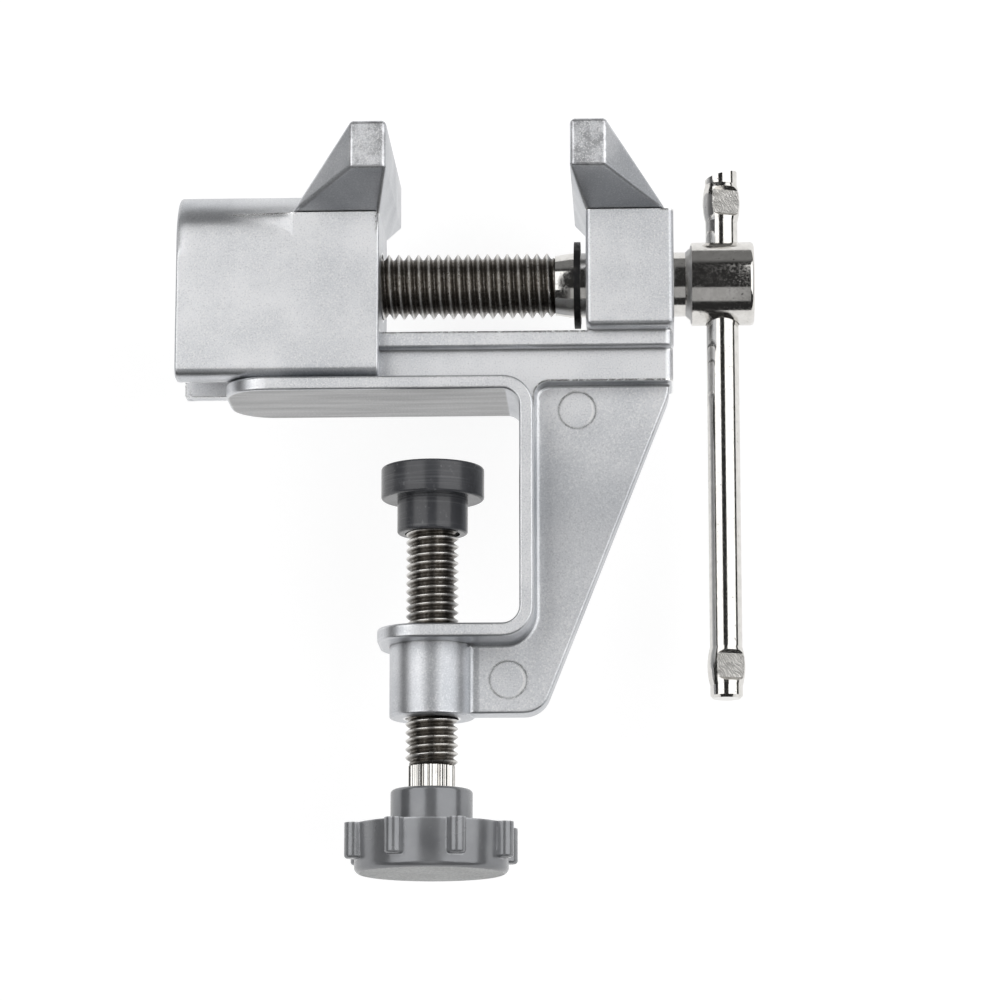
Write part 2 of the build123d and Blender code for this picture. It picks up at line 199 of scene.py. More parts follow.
# Shade on the web, which lies deeper than the rest: its most, its least and its share off the web
WEB_DEPTH = 3.3 * MM
WEB_MIDDLE = -19 * MM
WEB_SHADE = 0.50
WEB_SHADE_LEAST = 0.10
WEB_SHADE_OFF = 0.15
WEB_SHADE_REACH = 19 * MM
WEB_SHADE_FADE = 0.5 * MM

# Where the seat of the sliding jaw runs out into the block's round top
RUN_OUT_RADIUS = 2.5 * MM
RUN_OUT_START = -23.5 * MM
RUN_OUT_END = -19.5 * MM
RUN_OUT_BOTTOM = 20.5 * MM

# Marks of the mould's ejector pins on the front of the web, each with a painted highlight as a bright crescent
# on its right: X, Z and how dark the line is
EJECTOR_RADIUS = 2.8 * MM
EJECTOR_MARKS = ((21.85 * MM, -1.85 * MM, 0.55), (11.45 * MM, -42.7 * MM, 0.25))
EJECTOR_LINE = (0.20 * MM, 0.06 * MM)
EJECTOR_HIGHLIGHT = (0.30 * MM, 0.10 * MM)
EJECTOR_FACING = (-0.90, -0.97)
HIGHLIGHT_INSET = 0.4 * MM
HIGHLIGHT_SIDE = (0.3 * EJECTOR_RADIUS, 0.9 * EJECTOR_RADIUS)
BREAK_NOISE = (450, 2.0, 0.5)
BREAKS = (0.35, 0.60)
BREAK_DARKNESS = 0.10

# Nickel plate: its streaks, its specks and its roughness, which follows the specks
PLATE_DARK = (0.655, 0.64, 0.615, 1)
PLATE_LIGHT = (0.725, 0.71, 0.685, 1)
PLATE_SPECK = (0.25, 0.24, 0.23, 1)
STREAK_NOISE = (700, 3.0, 0.5)
STREAKS = (0.35, 0.65)
STREAK_BUMP = (0.02 * MM, 0.04)
SPECK_NOISE = (2600, 2.0, 0.5)
SPECKS = (0.70, 0.74)
PLATE_ROUGH_SPECKS = (0.35, 0.70)
PLATE_ROUGHNESS = (0.07, 0.18)

# Dirt and painted shade in the threads, darker down towards the roots
THREAD_DIRT_AND_SHADE = (0.13, 0.117, 0.102, 1)
DIRT_AND_SHADE_SPECKS = (0.25, 0.6)
DIRT_AND_SHADE_SHARE = (0.70, 1.0)
DIRT_ROUGHNESS = 0.20
DIRT_AND_SHADE_TOP = 0.02 * MM
DIRT_AND_SHADE_BOTTOM = 0.40 * MM
DIRT_AND_SHADE_FADE = 0.05 * MM

# Print of the die on the tommy bar
PRESSED_SHADE = (0.36, 0.355, 0.345, 1)
PRESSED_SHARE = 0.6
PRESSED_FACING = (0.985, 0.995)
HATCH_SCALE = 900.0
HATCH_DISTORTION = 9.0
HATCH_DETAIL = 3.0
HATCH_BUMP = (0.10 * MM, 1.0)
HATCH_ROUGHNESS = 0.35
HATCH_FADE = 0.1 * MM

# Black finish of the snap ring
PHOSPHATE = (0.012, 0.012, 0.013, 1)
PHOSPHATE_RUBBED = (0.05, 0.048, 0.046, 1)
PHOSPHATE_ROUGHNESS = (0.55, 0.35)
PHOSPHATE_METALLIC = 0.5
PATCH_NOISE = (900, 3.0, 0.5)
PATCHES = (0.45, 0.75)
PATCH_BUMP = (0.02 * MM, 0.3)

# Greys and shine of the pad and the knob
PAD_DARK = (0.054, 0.055, 0.061, 1)
PAD_LIGHT = (0.076, 0.078, 0.085, 1)
KNOB_DARK = (0.24, 0.246, 0.258, 1)
KNOB_LIGHT = (0.31, 0.316, 0.328, 1)
# Paler edges: partly wear, partly painted highlight
PAD_EDGE_WEAR_AND_HIGHLIGHT = (0.14, 0.143, 0.15, 1)
KNOB_EDGE_WEAR_AND_HIGHLIGHT = (0.55, 0.56, 0.58, 1)
PAD_METALLIC = 0.0
KNOB_METALLIC = 0.4
PLASTIC_ROUGHNESS = (0.19, 0.29)

# Marks on the pad and the knob
PLASTIC_SCUFF = (0.34, 0.345, 0.355, 1)
PLASTIC_CLOUD_NOISE = (160, 3.0, 0.5)
PLASTIC_GRAIN_NOISE = (2600, 3.0, 0.6)
PLASTIC_GRAIN_BUMP = (0.02 * MM, 0.12)
PLASTIC_SCUFF_NOISE = (1100, 4.0, 0.7)
PLASTIC_SCUFFS = (0.60, 0.76)
PLASTIC_SCUFF_SHARE = 0.4
PLASTIC_SCUFF_BUMP = (0.02 * MM, 0.4)
PLASTIC_RIM_WIDTH = 0.6 * MM
PLASTIC_EDGE_NOISE = (600, 3.0, 0.6)
PLASTIC_EDGE_BREAKS = (0.35, 0.60)
PLASTIC_EDGE_SHARE = (0.25, 0.85)
WORN_DARK = (0.42, 0.43, 0.43, 1)
WORN_LIGHT = (0.66, 0.665, 0.66, 1)
WORN_GRAIN = (0.3, 0.65)
WORN_FACING = (-0.90, -0.98)
WORN_ROUGHNESS = 0.3
WORN_FADE = 0.2 * MM
TURNED_LINE = (0.20, 0.205, 0.215, 1)
TURNED_SQUEEZE = (0.03, 0.03, 1)
TURNED_NOISE = (2600, 2.0, 0.5)
TURNED_LINES = (0.55, 0.75)
TURNED_SHARE = (0.0, 0.35)
TURNED_BUMP = (0.03 * MM, 0.5)

# Light of the room by the height of the direction it comes from, from -1 straight down to 1 straight up
ROOM_WALLS = 0.03
ROOM_FLOOR = 0.45
ROOM_CEILING = 0.22
ROOM_FLOOR_START = (-0.36, -0.42)
ROOM_FLOOR_END = (-0.90, -0.86)
ROOM_FLOOR_SIDE = (0.22, 0.12)
ROOM_FLOOR_FRONT = (0.0, -0.1)
ROOM_CEILING_START = (0.70, 0.85)

# Two softboxes: azimuth and elevation in degrees, width, height and brightness
LIGHT_AIM = Vector((5, 0, -12)) * MM
LIGHT_DISTANCE = 0.55
LEFT_BOX = (-38, 8, 0.46, 0.80, 1.6)
RIGHT_BOX = (46, 8, 0.62, 0.80, 1.65)


# Shapes


def constant(along, radius):
    """A lathe row that is the same all round."""
    return lambda angle: (along, radius)


def knurled(along, radius):
    """A lathe row with the clamp screw's straight knurl."""
    return lambda angle: (along, radius - KNURL_DEPTH * (0.5 + 0.5 * math.cos(KNURL_COUNT * angle)))


def thread_row(start, end, reference, pitch, root, depth, place, height):
    """A lathe row that climbs one pitch a turn and fades to the root at both ends of the thread."""
    side = math.copysign(1, depth)

    def at(angle):
        along = reference + pitch * (place + angle / TURN)
        along = min(max(along, start), end)
        room = min(along - start, end - along)
        return along, root + side * min(height * abs(depth), room)

    return at


def thread(start, end, reference, pitch, root, depth):
    """Rows of a right-hand thread. reference is a place on the axis where the root lies at angle 0."""
    first = math.floor((start - reference) / pitch) - 1
    last = math.ceil((end - reference) / pitch) + 1
    rows = []
    for turn in range(first, last + 1):
        for share, height in THREAD_FORM:
            rows.append(thread_row(start, end, reference, pitch, root, depth, turn + share, height))
    return rows


def on_x_axis(height):
    """Places lathe points round an axis along X at that height."""
    return lambda angle, along, radius: (along, radius * math.cos(angle), height + radius * math.sin(angle))


def on_z_axis(angle, along, radius):
    """Places a lathe point round the Z axis."""
    return radius * math.cos(angle), radius * math.sin(angle), along


def lathe(name, rows, columns, place):
    """Closed mesh that turns the rows round an axis; rows that meet the axis or each other are welded."""
    shape = bmesh.new()
    grid = []
    for i in range(columns + 1):
        angle = TURN * i / columns
        grid.append([shape.verts.new(place(angle, *row(angle))) for row in rows])
    for left, right in zip(grid, grid[1:]):
        for j in range(len(rows) - 1):
            shape.faces.new((left[j], left[j + 1], right[j + 1], right[j]))
    bmesh.ops.remove_doubles(shape, verts=shape.verts, dist=WELD)
    bmesh.ops.dissolve_degenerate(shape, dist=WELD, edges=shape.edges)
    bmesh.ops.recalc_face_normals(shape, faces=shape.faces)
    mesh = bpy.data.meshes.new(name)
    shape.to_mesh(mesh)
    shape.free()
    return show(name, mesh)


def show(name, mesh):
    """Object for a mesh, smooth apart from its sharp edges."""
    mesh.polygons.foreach_set("use_smooth", [True] * len(mesh.polygons))
    mesh.set_sharp_from_angle(angle=SHARP_ANGLE)
    piece = bpy.data.objects.new(name, mesh)
    bpy.context.scene.collection.objects.link(piece)
    return piece


def drill(piece, cutter):
    """Takes the cutter's shape out of the piece."""
    cut = piece.modifiers.new("drill", "BOOLEAN")
    cut.operation = "DIFFERENCE"
    cut.solver = "EXACT"
    cut.object = cutter
    done = piece.evaluated_get(bpy.context.evaluated_depsgraph_get())
    mesh = bpy.data.meshes.new_from_object(done)
    mesh.set_sharp_from_angle(angle=SHARP_ANGLE)
    piece.modifiers.clear()
    piece.data = mesh
    bpy.data.objects.remove(cutter)


def vise_thread_end(ring_low):
    """Where the vise screw's thread stops short of its snap ring."""
    return ring_low.x - VISE_NECK_LAND - VISE_NECK_LENGTH


def make_vise_screw():
    """Vise screw with its thread, neck, ring groove, shank and drilled head."""
    low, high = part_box("vise_screw")
    ring_low, ring_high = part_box("retaining_ring")
    axis = (low.z + high.z) / 2
    left, right = low.x, high.x
    head = (high.z - low.z) / 2
    head_left = right - HEAD_LENGTH
    shank = VISE_SHANK_DIAMETER / 2
    root = VISE_ROOT_DIAMETER / 2
    groove = RING_GROOVE_DIAMETER / 2
    thread_right = vise_thread_end(ring_low)
    depth = (VISE_THREAD_DIAMETER - VISE_ROOT_DIAMETER) / 2
    rows = [constant(left, 0)]
    rows += thread(left, thread_right, left, VISE_PITCH, root, depth)
    profile = [
        (thread_right, VISE_NECK_DIAMETER / 2),
        (ring_low.x - VISE_NECK_LAND, shank),
        (ring_low.x, shank),
        (ring_low.x, groove),
        (ring_high.x, groove),
        (ring_high.x, shank),
        (head_left - HEAD_ROOT_CHAMFER, shank),
        (head_left, shank + HEAD_ROOT_CHAMFER),
        (head_left, head - HEAD_BACK_CHAMFER),
        (head_left + HEAD_BACK_CHAMFER, head),
    ]
    for step in range(HEAD_ROUND_STEPS + 1):
        angle = math.pi / 2 * step / HEAD_ROUND_STEPS
        along = right - HEAD_ROUND * (1 - math.sin(angle))
        profile.append((along, head - HEAD_ROUND * (1 - math.cos(angle))))
    profile.append((right, 0))
    rows += [constant(*point) for point in profile]
    screw = lathe("vise_screw_threaded", rows, VISE_COLUMNS, on_x_axis(axis))
    hole_x = head_left + HEAD_LENGTH / 2
    hole = BAR_HOLE_DIAMETER / 2
    ends = [constant(axis - 2 * head, 0), constant(axis - 2 * head, hole)]
    ends += [constant(axis + 2 * head, hole), constant(axis + 2 * head, 0)]
    cutter = lathe("bar_hole", ends, VISE_COLUMNS // 2, on_z_axis)
    cutter.data.transform(Matrix.Translation((hole_x, 0, 0)))
    drill(screw, cutter)
    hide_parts("vise_screw")
    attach(screw, "vise_screw")
    return screw


def make_jaw_thread():
    """Thread cut in the sliding jaw's bore: a sleeve whose ridges lie in the roots of the vise screw."""
    low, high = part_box("sliding_jaw")
    screw_low, screw_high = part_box("vise_screw")
    axis = (screw_low.z + screw_high.z) / 2
    start = low.x + JAW_THREAD_SETBACK
    end = start + JAW_THREAD_LENGTH
    wall = JAW_BORE_DIAMETER / 2 + JAW_THREAD_WALL
    groove = JAW_BORE_DIAMETER / 2 - WALL_COVER
    rows = [constant(start, wall), constant(start, groove)]
    rows += thread(start, end, screw_low.x + VISE_PITCH / 2, VISE_PITCH, groove, -JAW_THREAD_DEPTH)
    rows += [constant(end, groove), constant(end, wall), constant(start, wall)]
    sleeve = lathe("sliding_jaw_thread", rows, VISE_COLUMNS, on_x_axis(axis))
    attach(sleeve, "sliding_jaw")
    return sleeve


def make_clamp_screw():
    """Clamp screw with its thread, straight knurl and, inside the pad, its ball."""
    low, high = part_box("clamp_screw")
    knurl = KNURL_DIAMETER / 2
    root = CLAMP_ROOT_DIAMETER / 2
    depth = (CLAMP_THREAD_DIAMETER - CLAMP_ROOT_DIAMETER) / 2
    neck = BALL_NECK_DIAMETER / 2
    ball = BALL_DIAMETER / 2
    rows = [constant(low.z, 0), knurled(low.z, knurl), knurled(CLAMP_THREAD_BOTTOM, knurl)]
    rows += thread(CLAMP_THREAD_BOTTOM, CLAMP_THREAD_TOP, CLAMP_THREAD_BOTTOM, CLAMP_PITCH, root, depth)
    rows += [constant(CLAMP_THREAD_TOP, neck)]
    lowest = math.asin(neck / ball)
    for step in range(BALL_STEPS + 1):
        angle = lowest + (math.pi - lowest) * step / BALL_STEPS
        rows.append(constant(BALL_CENTRE - ball * math.cos(angle), max(ball * math.sin(angle), 0)))
    screw = lathe("clamp_screw_threaded", rows, CLAMP_COLUMNS, on_z_axis)
    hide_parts("clamp_screw")
    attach(screw, "clamp_screw")
    return screw


# Materials


def node(tree, kind, settings=None, inputs=None):
    """Adds a shader node; an input is a value, or a socket to link from."""
    made = tree.nodes.new(kind)
    for name, value in (settings or {}).items():
        setattr(made, name, value)
    for key, value in (inputs or {}).items():
        if isinstance(value, bpy.types.NodeSocket):
            tree.links.new(value, made.inputs[key])
        else:
            made.inputs[key].default_value = value
    return made


def noise(tree, place, scale, detail, roughness):
    """Noise from 0 to 1; scale is in features a metre."""
    inputs = {"Vector": place, "Scale": scale, "Detail": detail, "Roughness": roughness}
    return node(tree, "ShaderNodeTexNoise", inputs=inputs).outputs["Fac"]


def math_node(tree, operation, first, second=0.0):
    """One sum, product or other operation on two values."""
    return node(tree, "ShaderNodeMath", {"operation": operation}, {0: first, 1: second}).outputs[0]


def product(tree, first, second):
    """One value times another."""
    return math_node(tree, "MULTIPLY", first, second)


def unsigned(tree, value):
    """A value without its sign."""
    return math_node(tree, "ABSOLUTE", value)


def vector_node(tree, operation, first, second):
    """Outputs of one operation on two vectors."""
    return node(tree, "ShaderNodeVectorMath", {"operation": operation}, {0: first, 1: second}).outputs


def split(tree, vector):
    """The X, Y and Z of a vector."""
    return node(tree, "ShaderNodeSeparateXYZ", inputs={0: vector}).outputs


def squared_reach(tree, first, second):
    """Square of the distance whose two parts are given."""
    return math_node(tree, "ADD", math_node(tree, "POWER", first, 2.0), math_node(tree, "POWER", second, 2.0))


def fit(tree, value, low, high, to_low=0.0, to_high=1.0):
    """Stretches a value from one range to another, and holds it there."""
    inputs = {0: value, 1: low, 2: high, 3: to_low, 4: to_high}
    return node(tree, "ShaderNodeMapRange", {"interpolation_type": "SMOOTHSTEP"}, inputs).outputs[0]


def mix_colour(tree, share, first, second):
    """Colour between two colours."""
    made = node(tree, "ShaderNodeMix", {"data_type": "RGBA"}, {0: share, 6: first, 7: second})
    return made.outputs[2]


def bump(tree, height, distance, strength, normal=None):
    """Normal of a surface with that height; distance is its full depth in metres."""
    inputs = {"Height": height, "Distance": distance, "Strength": strength}
    if normal is not None:
        inputs["Normal"] = normal
    return node(tree, "ShaderNodeBump", inputs=inputs).outputs["Normal"]


def rounded_normal(tree, radius):
    """Normal of a shape as if its edges had that round."""
    return node(tree, "ShaderNodeBevel", {"samples": BEVEL_SAMPLES}, {"Radius": radius}).outputs["Normal"]


def edge_mask(tree, radius):
    """Close to 1 along the edges of a shape and 0 on its faces."""
    plain = node(tree, "ShaderNodeNewGeometry").outputs["Normal"]
    alike = vector_node(tree, "DOT_PRODUCT", rounded_normal(tree, radius), plain)["Value"]
    return fit(tree, alike, *EDGE_ALIKE)


def new_material(name):
    """Empty material, with its tree, its shader and the coordinates that stay with a piece."""
    material = bpy.data.materials.new(name)
    material.use_nodes = True
    tree = material.node_tree
    shader = tree.nodes["Principled BSDF"]
    place = node(tree, "ShaderNodeTexCoord").outputs["Object"]
    return material, tree, shader, place


def link(tree, shader, **sockets):
    """Links values to the shader's sockets, named with underscores for spaces."""
    for name, value in sockets.items():
        tree.links.new(value, shader.inputs[name.replace("_", " ")])


def cast_aluminium(name, end_reach, is_frame=False):
    """Die casting with a grey skin, bright tumbled flats, sparkling grain, dark pores and scuffed jaw ends. The
    skin and the flats are partly painted shade and light, the web, the creases and the table face get painted
    shade, and the edges get a painted highlight.

    end_reach is how far the jaws' ends lie from the middle; is_frame adds what only the frame has, and
    without it the casting is the sliding jaw.
    """
    material, tree, shader, place = new_material(name)
    parts = split(tree, place)
    normal = node(tree, "ShaderNodeNewGeometry").outputs["Normal"]
    if not is_frame:
        normal = run_out(tree, parts, normal)
    facing = split(tree, normal)
    # painted light and shade, partly finish: faces along Y are tumbled pale, and the others keep the darker
    # skin
    lit_tumbled_flats = fit(tree, unsigned(tree, facing["Y"]), *LIT_FLAT_FACING)
    if is_frame:
        lit_tumbled_flats = product(tree, lit_tumbled_flats, off_boss(tree, parts))
    cloud = noise(tree, place, *CLOUD_NOISE)
    grain = noise(tree, place, *GRAIN_NOISE)
    scratches = fit(tree, noise(tree, place, *SCRATCH_NOISE), *MOST_NOISE)
    shaded = web_shade(tree, parts)
    colour = mix_colour(tree, shaded, casting_colour(tree, cloud, lit_tumbled_flats), SHADED_SKIN_DARK)
    ends = fit(tree, unsigned(tree, parts["Y"]), end_reach - SCUFF_START, end_reach - SCUFF_END)
    smears = fit(tree, noise(tree, place, *SMEAR_NOISE), *SMEARS)
    colour = mix_colour(tree, ends, colour, mix_colour(tree, smears, SCUFF_DARK, SCUFF_LIGHT))
    if is_frame:
        # painted shade: the face that looks down at the table is darkened
        colour = mix_colour(tree, table_face(tree, parts, facing), colour, table_shade_colour(tree, place))
        colour = ejector_rings(tree, place, parts, facing, colour)
    colour = grain_colour(tree, place, grain, lit_tumbled_flats, shaded, colour)
    clear = off_shaded_creases(tree)
    # worn bare edges and a painted highlight: the edges are painted near white
    rim = product(tree, edge_mask(tree, RIM_WIDTH), fit(tree, scratches, *RIM_SCRATCHES, *RIM_SHARE))
    rim = product(tree, rim, clear)
    colour = mix_colour(tree, rim, colour, BARE_METAL_AND_HIGHLIGHT)
    # painted shade: the creases are darkened to a near black grey
    colour = mix_colour(tree, fit(tree, clear, 0.0, 1.0, CREASE_SHARE, 0.0), colour, CREASE_SHADE)
    rough = fit(tree, lit_tumbled_flats, 0.0, 1.0, SKIN_ROUGHNESS, FLAT_ROUGHNESS)
    rough = node(tree, "ShaderNodeMix", inputs={0: rim, 2: rough, 3: RIM_ROUGHNESS}).outputs[0]
    surface = bump(tree, grain, *GRAIN_BUMP, normal)
    surface = bump(tree, cloud, *CLOUD_BUMP, surface)
    link(tree, shader, Base_Color=colour, Roughness=rough, Normal=surface)
    shader.inputs["Metallic"].default_value = 1.0
    return material


def casting_colour(tree, cloud, lit_tumbled_flats):
    """Clouded grey of the cast skin, darker in part as painted shade, and the paler one of the tumbled flats,
    lighter in part as painted light on faces that look along Y.
    """
    shade = fit(tree, cloud, *MOST_NOISE)
    shaded_skin = mix_colour(tree, shade, SHADED_SKIN_DARK, SHADED_SKIN_LIGHT)
    lit_tumbled = mix_colour(tree, shade, LIT_TUMBLED_DARK, LIT_TUMBLED_LIGHT)
    return mix_colour(tree, lit_tumbled_flats, shaded_skin, lit_tumbled)


def web_shade(tree, parts):
    """How much darker the casting is: most in the middle of the web, which lies deepest."""
    depth = unsigned(tree, parts["Y"])
    deep = fit(tree, depth, WEB_DEPTH, WEB_DEPTH - WEB_SHADE_FADE, WEB_SHADE_OFF, 1.0)
    away = unsigned(tree, math_node(tree, "SUBTRACT", parts["Z"], WEB_MIDDLE))
    return product(tree, deep, fit(tree, away, WEB_SHADE_REACH, 0.0, WEB_SHADE_LEAST, WEB_SHADE))


def grain_colour(tree, place, grain, lit_tumbled_flats, shaded, colour):
    """Adds sparkling grains, weak in the shade and on the skin, the dark between them, and pores."""
    bright = fit(tree, lit_tumbled_flats, 0.0, 1.0, *SPARKLE_SKIN_AND_FLATS)
    bright = product(tree, bright, fit(tree, shaded, 0.0, WEB_SHADE, 1.0, SPARKLE_SHADED))
    sparkle = product(tree, fit(tree, grain, *SPARKLE), bright)
    colour = mix_colour(tree, sparkle, colour, BARE_METAL_AND_HIGHLIGHT)
    colour = mix_colour(tree, fit(tree, grain, *GRAIN_GAPS, 0.0, GRAIN_GAPS_SHARE), colour, PORE)
    return mix_colour(tree, fit(tree, noise(tree, place, *PORE_NOISE), *PORES), colour, PORE)


def off_shaded_creases(tree):
    """0 deep in the corners of the casting, where shade is painted, and 1 where it lies open."""
    settings = {"samples": CREASE_SAMPLES, "only_local": True}
    inputs = {"Distance": CREASE_REACH}
    openness = node(tree, "ShaderNodeAmbientOcclusion", settings, inputs).outputs["AO"]
    return fit(tree, openness, *CREASE_OPEN)


def run_out(tree, parts, normal):
    """Normal of the sliding block, smoothed where the jaw's flat seat runs out into the round top."""
    smooth = rounded_normal(tree, RUN_OUT_RADIUS)
    behind = fit(tree, parts["X"], RUN_OUT_END, RUN_OUT_START)
    above = fit(tree, parts["Z"], RUN_OUT_BOTTOM, RUN_OUT_BOTTOM + RUN_OUT_RADIUS)
    share = product(tree, behind, above)
    return node(tree, "ShaderNodeMix", {"data_type": "VECTOR"}, {0: share, 4: normal, 5: smooth}).outputs[1]


def ejector_rings(tree, place, parts, facing, colour):
    """The rings that the ejector pins left on the web: a dark line, and a painted highlight as a bright
    crescent on its right.
    """
    front = fit(tree, facing["Y"], *EJECTOR_FACING)
    for x, z, strength in EJECTOR_MARKS:
        across = math_node(tree, "SUBTRACT", parts["X"], x)
        along = math_node(tree, "SUBTRACT", parts["Z"], z)
        reach = math_node(tree, "SQRT", squared_reach(tree, across, along))
        inside = math_node(tree, "SUBTRACT", EJECTOR_RADIUS, reach)
        line = fit(tree, unsigned(tree, inside), *EJECTOR_LINE)
        # painted highlight: a bright crescent just inside the ring, on its right side only
        off_highlight = unsigned(tree, math_node(tree, "SUBTRACT", inside, HIGHLIGHT_INSET))
        right = fit(tree, across, *HIGHLIGHT_SIDE)
        crescent_highlight = product(tree, fit(tree, off_highlight, *EJECTOR_HIGHLIGHT), right)
        colour = mix_colour(tree, product(tree, crescent_highlight, front), colour, BARE_METAL_AND_HIGHLIGHT)
        whole = fit(tree, noise(tree, place, *BREAK_NOISE), *BREAKS, BREAK_DARKNESS, strength)
        broken = product(tree, line, whole)
        colour = mix_colour(tree, product(tree, broken, front), colour, RING_LINE)
    return colour


def table_shade_colour(tree, place):
    """Painted shade: a dark grey with streaks along the flange."""
    drawn = vector_node(tree, "MULTIPLY", place, TABLE_STREAK_STRETCH)["Vector"]
    streaks = fit(tree, noise(tree, drawn, *TABLE_STREAK_NOISE), *MOST_NOISE)
    return mix_colour(tree, streaks, TABLE_SHADE_DARK, TABLE_SHADE_LIGHT)


def table_face(tree, parts, facing):
    """1 on the face that looks down at the table, at height 0, and 0 elsewhere."""
    down = fit(tree, facing["Z"], *TABLE_FACE_FACING)
    return product(tree, down, fit(tree, unsigned(tree, parts["Z"]), *TABLE_FACE_HEIGHT))


def off_boss(tree, parts):
    """Small on the boss round the clamp screw, which keeps most of its cast skin, and 1 elsewhere."""
    across = squared_reach(tree, parts["X"], parts["Y"])
    beside = fit(tree, across, BOSS_RADIUS**2, (BOSS_RADIUS + BOSS_FADE) ** 2)
    above = fit(tree, parts["Z"], -BOSS_BELOW_TABLE, -BOSS_BELOW_TABLE + BOSS_FADE)
    return fit(tree, math_node(tree, "MAXIMUM", beside, above), 0.0, 1.0, BOSS_TUMBLED, 1.0)


def plated_steel(name, dirt_and_shade=None, pressed=None):
    """Bright nickel plate with faint drawing lines and specks.

    The optional functions give where it is dirty and darkened with painted shade, and where a die left its
    hatched print.
    """
    material, tree, shader, place = new_material(name)
    streaks = noise(tree, place, *STREAK_NOISE)
    specks = noise(tree, place, *SPECK_NOISE)
    colour = mix_colour(tree, fit(tree, streaks, *STREAKS), PLATE_DARK, PLATE_LIGHT)
    colour = mix_colour(tree, fit(tree, specks, *SPECKS), colour, PLATE_SPECK)
    rough = fit(tree, specks, *PLATE_ROUGH_SPECKS, *PLATE_ROUGHNESS)
    if dirt_and_shade is not None:
        deep, threaded = dirt_and_shade(tree, place)
        share = product(tree, deep, fit(tree, specks, *DIRT_AND_SHADE_SPECKS, *DIRT_AND_SHADE_SHARE))
        # dirt and painted shade: the thread is darkened down towards its roots
        colour = mix_colour(tree, share, colour, THREAD_DIRT_AND_SHADE)
        rough = math_node(tree, "ADD", rough, product(tree, threaded, DIRT_ROUGHNESS))
    surface = bump(tree, streaks, *STREAK_BUMP)
    if pressed is not None:
        share = pressed(tree, place)
        print_height = product(tree, hatch(tree, place), share)
        surface = bump(tree, print_height, *HATCH_BUMP, surface)
        rough = math_node(tree, "ADD", rough, product(tree, share, HATCH_ROUGHNESS))
        colour = mix_colour(tree, product(tree, print_height, PRESSED_SHARE), colour, PRESSED_SHADE)
    link(tree, shader, Base_Color=colour, Roughness=rough, Normal=surface)
    shader.inputs["Metallic"].default_value = 1.0
    return material


def hatch(tree, place):
    """Uneven slanted lines of the die that pressed the tommy bar."""
    inputs = {"Vector": place, "Scale": HATCH_SCALE, "Distortion": HATCH_DISTORTION, "Detail": HATCH_DETAIL}
    return node(tree, "ShaderNodeTexWave", {"bands_direction": "DIAGONAL"}, inputs).outputs["Fac"]


def on_flats(direction, centres, half_length):
    """The pressed flats of the tommy bar: faces along a direction, near the given heights."""

    def at(tree, place):
        normal = node(tree, "ShaderNodeTexCoord").outputs["Normal"]
        facing = vector_node(tree, "DOT_PRODUCT", normal, direction)["Value"]
        flat = fit(tree, unsigned(tree, facing), *PRESSED_FACING)
        height = split(tree, place)["Z"]
        near = 0.0
        for centre in centres:
            away = unsigned(tree, math_node(tree, "SUBTRACT", height, centre))
            here = fit(tree, away, half_length, half_length - HATCH_FADE)
            near = math_node(tree, "MAXIMUM", near, here)
        return product(tree, flat, near)

    return at


def thread_dirt_and_shade(axis_point, axis, crest, start, end):
    """Dirt and painted shade in a thread round an axis, darker towards the root, and the thread's whole length,
    between two places along it.
    """

    def at(tree, place):
        offset = vector_node(tree, "SUBTRACT", place, axis_point)["Vector"]
        along = vector_node(tree, "DOT_PRODUCT", offset, axis)["Value"]
        crossed = vector_node(tree, "CROSS_PRODUCT", offset, axis)["Vector"]
        reach = vector_node(tree, "DISTANCE", crossed, (0, 0, 0))["Value"]
        after = fit(tree, along, start - DIRT_AND_SHADE_FADE, start)
        before = fit(tree, along, end + DIRT_AND_SHADE_FADE, end)
        threaded = product(tree, after, before)
        deep = product(tree, threaded, fit(tree, reach, crest - DIRT_AND_SHADE_TOP, crest - DIRT_AND_SHADE_BOTTOM))
        return deep, threaded

    return at


def black_spring_steel():
    """Black phosphate with rubbed patches."""
    material, tree, shader, place = new_material("black_spring_steel")
    patches = noise(tree, place, *PATCH_NOISE)
    colour = mix_colour(tree, fit(tree, patches, *PATCHES), PHOSPHATE, PHOSPHATE_RUBBED)
    rough = fit(tree, patches, *MOST_NOISE, *PHOSPHATE_ROUGHNESS)
    link(tree, shader, Base_Color=colour, Roughness=rough, Normal=bump(tree, patches, *PATCH_BUMP))
    shader.inputs["Metallic"].default_value = PHOSPHATE_METALLIC
    return material


